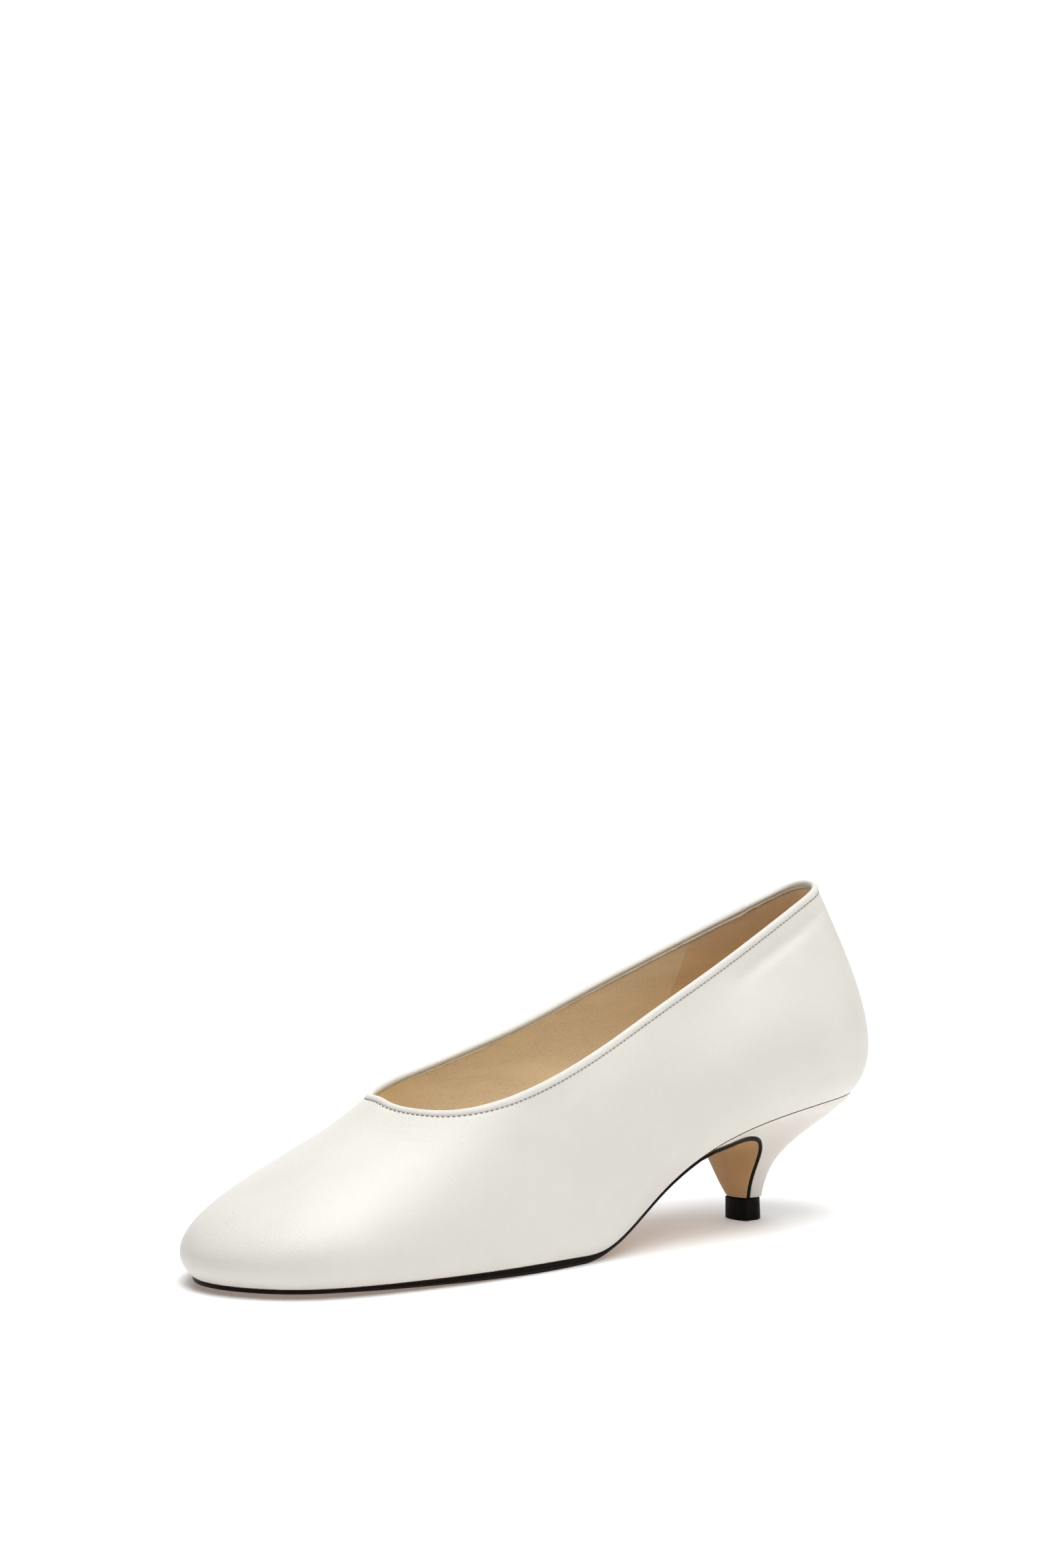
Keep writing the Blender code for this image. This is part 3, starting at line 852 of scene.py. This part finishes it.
# One stitch: its sides, its rings along half its length and its blunt tips; and where the row lies in mm
STITCH_SIDES = 7
STITCH_RINGS = (-1.0, -0.8, -0.35, 0.35, 0.8, 1.0)
STITCH_TIP = 0.04
STITCH_OUT = 0.66
STITCH_DOWN = 1.33


class PUMP_OT_stitches(bpy.types.Operator):
    """Row of fine stitches in the seam under the topline roll"""
    bl_idname = "pump.stitches"
    bl_label = "Topline stitches"

    def execute(self, context):
        sizes, colours = context.scene.pump_sizes, context.scene.pump_colours
        t, side = ring_ribs(BEAD_RIBS)
        centre, rise, out = bead_frame(t, side)
        seam = centre + out * STITCH_OUT - rise * STITCH_DOWN
        run, total = arc_lengths(seam)
        count = int(total / (sizes.stitch_pitch / MM))
        at = np.arange(count) * total / count
        closed = np.append(run, total)

        def along(values, where):
            wrapped = np.concatenate([values, values[:1]])
            return np.stack([np.interp(where % total, closed, wrapped[:, i]) for i in range(3)], -1)

        long, thick = sizes.stitch_long / MM / 2, sizes.stitch_thick / MM / 2
        points, faces = [], []
        turn = np.linspace(0, 2 * np.pi, STITCH_SIDES, endpoint=False)
        for place in at:
            start = len(points) * STITCH_SIDES
            for ring in STITCH_RINGS:
                where = np.array([place + ring * long])
                middle, up, away = (along(values, where)[0] for values in (seam, rise, out))
                radius = thick * np.sqrt(max(STITCH_TIP, 1 - ring ** 2))
                around = np.cos(turn)[:, None] * away + np.sin(turn)[:, None] * up
                points.append(middle + radius * around)
            faces += loft_faces(len(STITCH_RINGS), STITCH_SIDES, start)
        cotton = thread("grey_thread", colours.thread)
        obj = new_piece("topline_stitches", np.concatenate(points), faces, [cotton])
        settle(obj, "nappa_leather")
        return {"FINISHED"}


# Insole: its divisions, where its first rib lies, and how far its edges fall in mm
INSOLE_SPANS = 14
INSOLE_RIBS = 120
INSOLE_START = 0.05
INSOLE_CROWN = 0.5


class PUMP_OT_insole(bpy.types.Operator):
    """Covered insole on the feather line"""
    bl_idname = "pump.insole"
    bl_label = "Insole"

    def execute(self, context):
        colours = context.scene.pump_colours
        t = np.sin(np.linspace(INSOLE_START, TOE_TURN, INSOLE_RIBS)) ** 2
        edges = []
        for side in (1.0, -1.0):
            foot, out = feather(t, side)
            edges.append(foot - out * INSOLE_INSET)
        top, under = [], []
        for share in np.linspace(0.0, 1.0, INSOLE_SPANS + 1):
            line = edges[0] + share * (edges[1] - edges[0])
            crown = INSOLE_THICK - INSOLE_CROWN * (2 * share - 1) ** 4
            top.append(line + [0.0, 0.0, crown])
            under.append(line)
        loops = np.stack(top + under[::-1], 1)
        faces = loft_faces(len(loops), loops.shape[1])
        leather = suede("suede_sock", colours.lining)
        obj = new_piece("insole_sock", loops.reshape(-1, 3), faces, [leather], sharp=50)
        settle(obj, "lining_leather", "insole")
        return {"FINISHED"}


# Where the painted edge turns into its bevel, as a share of its height, and how worn the bevel is
EDGE_BREAK = 0.62
BEVEL_WORN = 2.2
# Order of the sole's materials
LEATHER, PAINT, BEVEL = range(3)


class PUMP_OT_sole(bpy.types.Operator):
    """Leather sole with a painted edge, turned down the heel breast as a flap"""
    bl_idname = "pump.sole"
    bl_label = "Sole"

    def execute(self, context):
        colours = context.scene.pump_colours
        tops, unders, breaks = self.lines()
        loops = np.stack(tops + [breaks[1]] + unders[::-1] + [breaks[0]], 1)
        columns = loops.shape[1]
        faces = loft_faces(len(loops), columns)
        spans = SOLE_SPANS + 1
        pick = np.full((len(loops) - 1, columns), LEATHER)
        pick[:, [spans - 1, columns - 1]] = PAINT
        pick[:, [spans, columns - 2]] = BEVEL
        pick[:HEEL_STEPS, [spans, columns - 2]] = PAINT
        pick = np.append(pick.ravel(), [PAINT, PAINT])
        materials = [sole_face("sole_leather_face", colours.sole),
                     edge_paint("edge_paint", colours.paint, colours.bevel),
                     edge_paint("edge_bevel", colours.bevel, shade_of(colours.bevel, BEVEL_WORN)[:3])]
        obj = new_piece("sole", loops.reshape(-1, 3), faces, materials, pick, sharp=35)
        settle(obj, "sole_leather", "outsole")
        return {"FINISHED"}

    def lines(self):
        """Lines from the end of the flap to the toe: over the top, under, and along the edges."""
        levels = heel_levels(HEEL_STEPS)
        breast = np.stack([levels["front_s"], levels["front_z"]], -1)
        breast = breast + GAP * profile_normals(breast)
        draw = levels["half"] / levels["half"][-1]
        level = np.linspace(0.0, 1.0, HEEL_STEPS)
        first = feather_t(EAR_TIP + EAR_CLEARANCE)
        t = first + (1 - first) * np.sin(np.linspace(0.0, TOE_TURN, SOLE_STEPS))
        ears = {1.0: LAST["lat"](feather_t(EAR_TIP)), -1.0: LAST["med"](feather_t(EAR_TIP))}
        middle = (ears[1.0] + ears[-1.0]) / 2
        edges = []
        for side in (1.0, -1.0):
            foot, out = feather(t, side)
            width = draw * (middle + level * (ears[side] - middle) - FLAP_INSET)
            flap = np.column_stack([breast[:, 0], side * width, breast[:, 1]])
            edges.append(np.concatenate([flap, foot - out * SOLE_INSET - [0.0, 0.0, GAP]]))
        along = edges[0][:, 0]
        stations = (SHANK_START, TREAD_START, TOE_SPRING_START, TOE_SPRING_END)
        thick = np.interp(along, stations, (SHANK_THICK, TREAD_THICK, TREAD_THICK, TOE_THICK))
        normal = profile_normals((edges[0] + edges[1])[:, [0, 2]] / 2)
        bevel = np.minimum(SOLE_BEVEL * thick / TREAD_THICK, edges[0][:, 1] / 4)
        floor = np.zeros(len(along))
        floor[:HEEL_STEPS] = TOP_PIECE_HIGH + GAP
        tops, unders = [], []
        for share in np.linspace(0.0, 1.0, SOLE_SPANS + 1):
            line = edges[0] + share * (edges[1] - edges[0])
            shift = np.zeros(len(line))
            shift[:HEEL_STEPS] = breast_shift(line[:HEEL_STEPS, 1], edges[0][:HEEL_STEPS, 1], level)
            line[:, 0] += shift
            under = line.copy()
            under[:, [0, 2]] += thick[:, None] * normal
            under[:, 1] -= bevel * (1 - 2 * share)
            for part in (line, under):
                part[:, 2] = np.maximum(part[:, 2], floor)
            tops.append(line)
            unders.append(under)
        breaks = []
        for top, under, sign in ((tops[0], unders[0], 1.0), (tops[-1], unders[-1], -1.0)):
            line = top + EDGE_BREAK * (under - top)
            line[:, 1] += sign * bevel * EDGE_BREAK
            breaks.append(line)
        return tops, unders, breaks


# Gap at the heel seat in mm, and the least share of its width that the breast is bowed over
SEAT_SEAM = 0.03
LEAST_BOW = 0.05


class PUMP_OT_heel(bpy.types.Operator):
    """Leather-covered heel block"""
    bl_idname = "pump.heel"
    bl_label = "Heel"

    def execute(self, context):
        colours = context.scene.pump_colours
        levels = heel_levels(HEEL_STEPS)
        t = feather_t(EAR_TIP) * np.linspace(0.0, 1.0, SEAT_STEPS + 1)
        seat = LAST["along"](t)
        share = (seat - seat[0]) / (seat[-1] - seat[0])
        seat_z = LAST["rise"](t) - SEAT_SEAM
        dish = seat_z - (seat_z[0] + share * (seat_z[-1] - seat_z[0]))
        front = np.stack([levels["front_s"], levels["front_z"]], -1)
        middle = (LAST["lat"](t) + LAST["med"](t)) / 2
        loops = []
        for i, level in enumerate(np.linspace(0.0, 1.0, HEEL_STEPS)):
            draw = levels["half"][i] / levels["half"][-1]
            back = np.array([levels["back_s"][i], levels["back_z"][i]])
            line = back + share[:, None] * (front[i] - back)
            line[:, 1] += dish * level ** 2
            outer = draw * (middle + level * (LAST["lat"](t) - middle)) - HEEL_INSET * np.sign(t)
            inner = HEEL_INSET * np.sign(t) - draw * (middle + level * (LAST["med"](t) - middle))
            across = np.linspace(outer[-1], inner[-1], SOLE_SPANS + 1)[1:-1]
            y = np.concatenate([outer, across, inner[:0:-1]])
            weight = np.concatenate([share, np.ones(len(across)), share[:0:-1]])
            sz = np.concatenate([line, np.repeat(line[-1:], len(across), 0), line[:0:-1]])
            shift = weight ** 2 * breast_shift(y, outer[-1] / np.maximum(weight, LEAST_BOW), level)
            loops.append(np.column_stack([sz[:, 0] + shift, y, sz[:, 1]]))
        faces = block_faces(HEEL_STEPS, len(loops[0]))
        leather = nappa("nappa_heel", colours.heel)
        obj = new_piece("heel_cover", np.concatenate(loops), faces, [leather], sharp=45)
        settle(obj, "heel_cover", "heel")
        return {"FINISHED"}


# Top piece: points round half its back and across half its front, and its broken edges in mm
TOP_PIECE_TURN = 25
TOP_PIECE_SPAN = 13
TOP_PIECE_EDGE = 0.25


class PUMP_OT_top_piece(bpy.types.Operator):
    """Rubber top piece under the heel"""
    bl_idname = "pump.top_piece"
    bl_label = "Top piece"

    def execute(self, context):
        colours = context.scene.pump_colours
        turn = np.linspace(0.0, np.pi / 2, TOP_PIECE_TURN)
        depth = (TOP_PIECE_ARRIS - TOP_PIECE_BACK) * TOP_PIECE_ROUND
        back = np.stack([TOP_PIECE_BACK + depth * (1 - np.cos(turn)), TOP_PIECE_HALF * np.sin(turn)], -1)
        across = np.linspace(1.0, 0.0, TOP_PIECE_SPAN)
        bowed = TOP_PIECE_ARRIS + TOP_PIECE_BOW * (1 - across ** 2)
        front = np.stack([bowed, TOP_PIECE_HALF * across], -1)
        outer = np.concatenate([back, front])
        outline = np.concatenate([outer, (outer * [1, -1])[-2:0:-1]])
        forward = (outline[:, 0] - TOP_PIECE_BACK) / (TOP_PIECE_ARRIS - TOP_PIECE_BACK)
        outline[:, 0] -= forward * BREAST_SKEW * outline[:, 1]
        centre = outline.mean(0)
        rows = ((TOP_PIECE_FLARE, 0.0, TOP_PIECE_EDGE), (TOP_PIECE_FLARE, TOP_PIECE_EDGE, 0.0),
                (0.0, TOP_PIECE_HIGH - TOP_PIECE_EDGE, 0.0), (0.0, TOP_PIECE_HIGH, TOP_PIECE_EDGE))
        loops = []
        for flare, z, cut in rows:
            plan = outline.copy()
            plan[:, 0] -= flare * (1 - forward)
            inward = centre - plan
            plan += inward * (cut / np.linalg.norm(inward, axis=1))[:, None]
            loops.append(np.column_stack([plan, np.full(len(plan), z)]))
        faces = block_faces(len(loops), len(outline))
        skin = rubber("black_rubber", colours.rubber)
        obj = new_piece("top_piece_lift", np.concatenate(loops), faces, [skin], sharp=35)
        settle(obj, "top_piece_rubber", "top_piece")
        return {"FINISHED"}


# Floor disc, in metres
FLOOR_RADIUS = 60.0
FLOOR_SIDES = 96

# Soft lights around the shoe: height and turn in degrees, the turn from the camera's side to the right,
# cosines of the angle off the middle where each begins and is full, and its level
LIGHT_COLUMNS = ("rise", "turn", "begins", "full", "level")
LIGHTS = (
    (85.0, 0.0, 0.90, 0.96, 4.1),
    (67.0, 45.0, 0.85, 0.95, 2.7),
    (45.0, 180.0, 0.70, 0.90, 0.95),
)
# White backdrop low behind the shoe, with the cosines off the line of sight where it begins and is full
BACKDROP = 1.1
BACKDROP_BEGINS, BACKDROP_FULL = 0.86, 0.95
# Pale rim where the floor ends, all round, with the heights where it stops and is full
RIM = 0.8
RIM_STOPS, RIM_FULL = 0.07, 0.04
# Share of light that comes up through the floor, as on a lit table
FLOOR_GLOW = 0.18


class PUMP_OT_stage(bpy.types.Operator):
    """Pale floor, soft studio light and the camera"""
    bl_idname = "pump.stage"
    bl_label = "Stage"

    def execute(self, context):
        self.add_floor(context)
        self.add_lights(context)
        self.add_camera(context)
        return {"FINISHED"}

    def add_floor(self, context):
        mesh = bpy.data.meshes.new("studio_floor")
        bm = bmesh.new()
        bmesh.ops.create_circle(bm, cap_ends=True, radius=FLOOR_RADIUS, segments=FLOOR_SIDES)
        bm.to_mesh(mesh)
        bm.free()
        look = Look("pale_floor", Specular_IOR_Level=0.1)
        paper = look.noise(40.0, detail=2.0)
        colour = context.scene.pump_colours.floor
        base = look.mix(look.ramp(paper, 0.3, 0.7), shade_of(colour, 0.99), opaque(colour))
        mesh.materials.append(look.set(Base_Color=base, Roughness=0.9 + paper * 0.05, Emission_Color=base,
                                       Emission_Strength=FLOOR_GLOW))
        floor = bpy.data.objects.new("studio_floor", mesh)
        context.scene.collection.objects.link(floor)

    def add_lights(self, context):
        world = bpy.data.worlds.new("studio")
        world.use_nodes = True
        nodes = Nodes(world.node_tree)
        direction = nodes.node("ShaderNodeTexCoord", out="Generated")
        x, y, height = (nodes.node("ShaderNodeSeparateXYZ", out=axis, Vector=direction) for axis in "XYZ")
        azimuth = np.radians(CAMERA_AZIMUTH)
        front = x * np.sin(azimuth) - y * np.cos(azimuth)
        right = x * np.cos(azimuth) + y * np.sin(azimuth)
        behind = nodes.ramp(front * -1.0, BACKDROP_BEGINS, BACKDROP_FULL)
        rim = nodes.ramp(height * -1.0, -RIM_STOPS, -RIM_FULL)
        level = BACKDROP * behind + RIM * (1.0 - behind) * rim
        for row in LIGHTS:
            light = dict(zip(LIGHT_COLUMNS, row))
            rise, turn = np.radians([light["rise"], light["turn"]])
            ahead, aside = np.cos(rise) * np.cos(turn), np.cos(rise) * np.sin(turn)
            facing = front * ahead + right * aside + height * np.sin(rise)
            level = level + light["level"] * nodes.ramp(facing, light["begins"], light["full"])
        background = world.node_tree.nodes["Background"]
        background.inputs["Color"].default_value = (1.0, 1.0, 1.0, 1.0)
        nodes.feed(background.inputs["Strength"], level)
        context.scene.world = world
        context.scene.view_settings.view_transform = "Standard"

    def add_camera(self, context):
        azimuth, elevation = np.radians([CAMERA_AZIMUTH, CAMERA_ELEVATION])
        offset = np.array([np.cos(azimuth) * np.cos(elevation), np.sin(azimuth) * np.cos(elevation),
                           np.sin(elevation)])
        data = bpy.data.cameras.new("photo_camera")
        data.sensor_fit = "VERTICAL"
        data.sensor_height = SENSOR
        data.lens = CAMERA_FOCUS_PX / PICTURE[1] * SENSOR
        data.clip_start = CLIP_START
        camera = bpy.data.objects.new("photo_camera", data)
        camera.location = to_part(np.array(CAMERA_AIM) + CAMERA_DISTANCE * offset)
        right = (CAMERA_AIM_PX[0] - PICTURE[0] / 2) / CAMERA_FOCUS_PX
        down = (CAMERA_AIM_PX[1] - PICTURE[1] / 2) / CAMERA_FOCUS_PX
        camera.rotation_euler = (np.pi / 2 - elevation + np.arctan(down), 0.0, azimuth + np.arctan(right))
        context.scene.collection.objects.link(camera)
        context.scene.camera = camera


class PUMP_PT_panel(bpy.types.Panel):
    """Pieces of the pump and their settings"""
    bl_idname = "PUMP_PT_panel"
    bl_label = "Pump"
    bl_space_type = "VIEW_3D"
    bl_region_type = "UI"
    bl_category = "Pump"

    def draw(self, context):
        for operator in OPERATORS:
            self.layout.operator(operator.bl_idname)
        for group in (context.scene.pump_sizes, context.scene.pump_colours):
            for name in group.bl_rna.properties.keys():
                if name not in ("rna_type", "name"):
                    self.layout.prop(group, name)


OPERATORS = (PUMP_OT_upper, PUMP_OT_lining, PUMP_OT_bead, PUMP_OT_stitches, PUMP_OT_insole, PUMP_OT_sole,
             PUMP_OT_heel, PUMP_OT_top_piece, PUMP_OT_stage)
CLASSES = (PumpSizes, PumpColours, *OPERATORS, PUMP_PT_panel)


def register():
    for cls in CLASSES:
        bpy.utils.register_class(cls)
    bpy.types.Scene.pump_sizes = PointerProperty(type=PumpSizes)
    bpy.types.Scene.pump_colours = PointerProperty(type=PumpColours)


def unregister():
    del bpy.types.Scene.pump_colours
    del bpy.types.Scene.pump_sizes
    for cls in reversed(CLASSES):
        bpy.utils.unregister_class(cls)


def main():
    register()
    bpy.ops.pump.upper()
    bpy.ops.pump.lining()
    bpy.ops.pump.bead()
    bpy.ops.pump.stitches()
    bpy.ops.pump.insole()
    bpy.ops.pump.sole()
    bpy.ops.pump.heel()
    bpy.ops.pump.top_piece()
    bpy.ops.pump.stage()


if __name__ == "__main__":
    main()
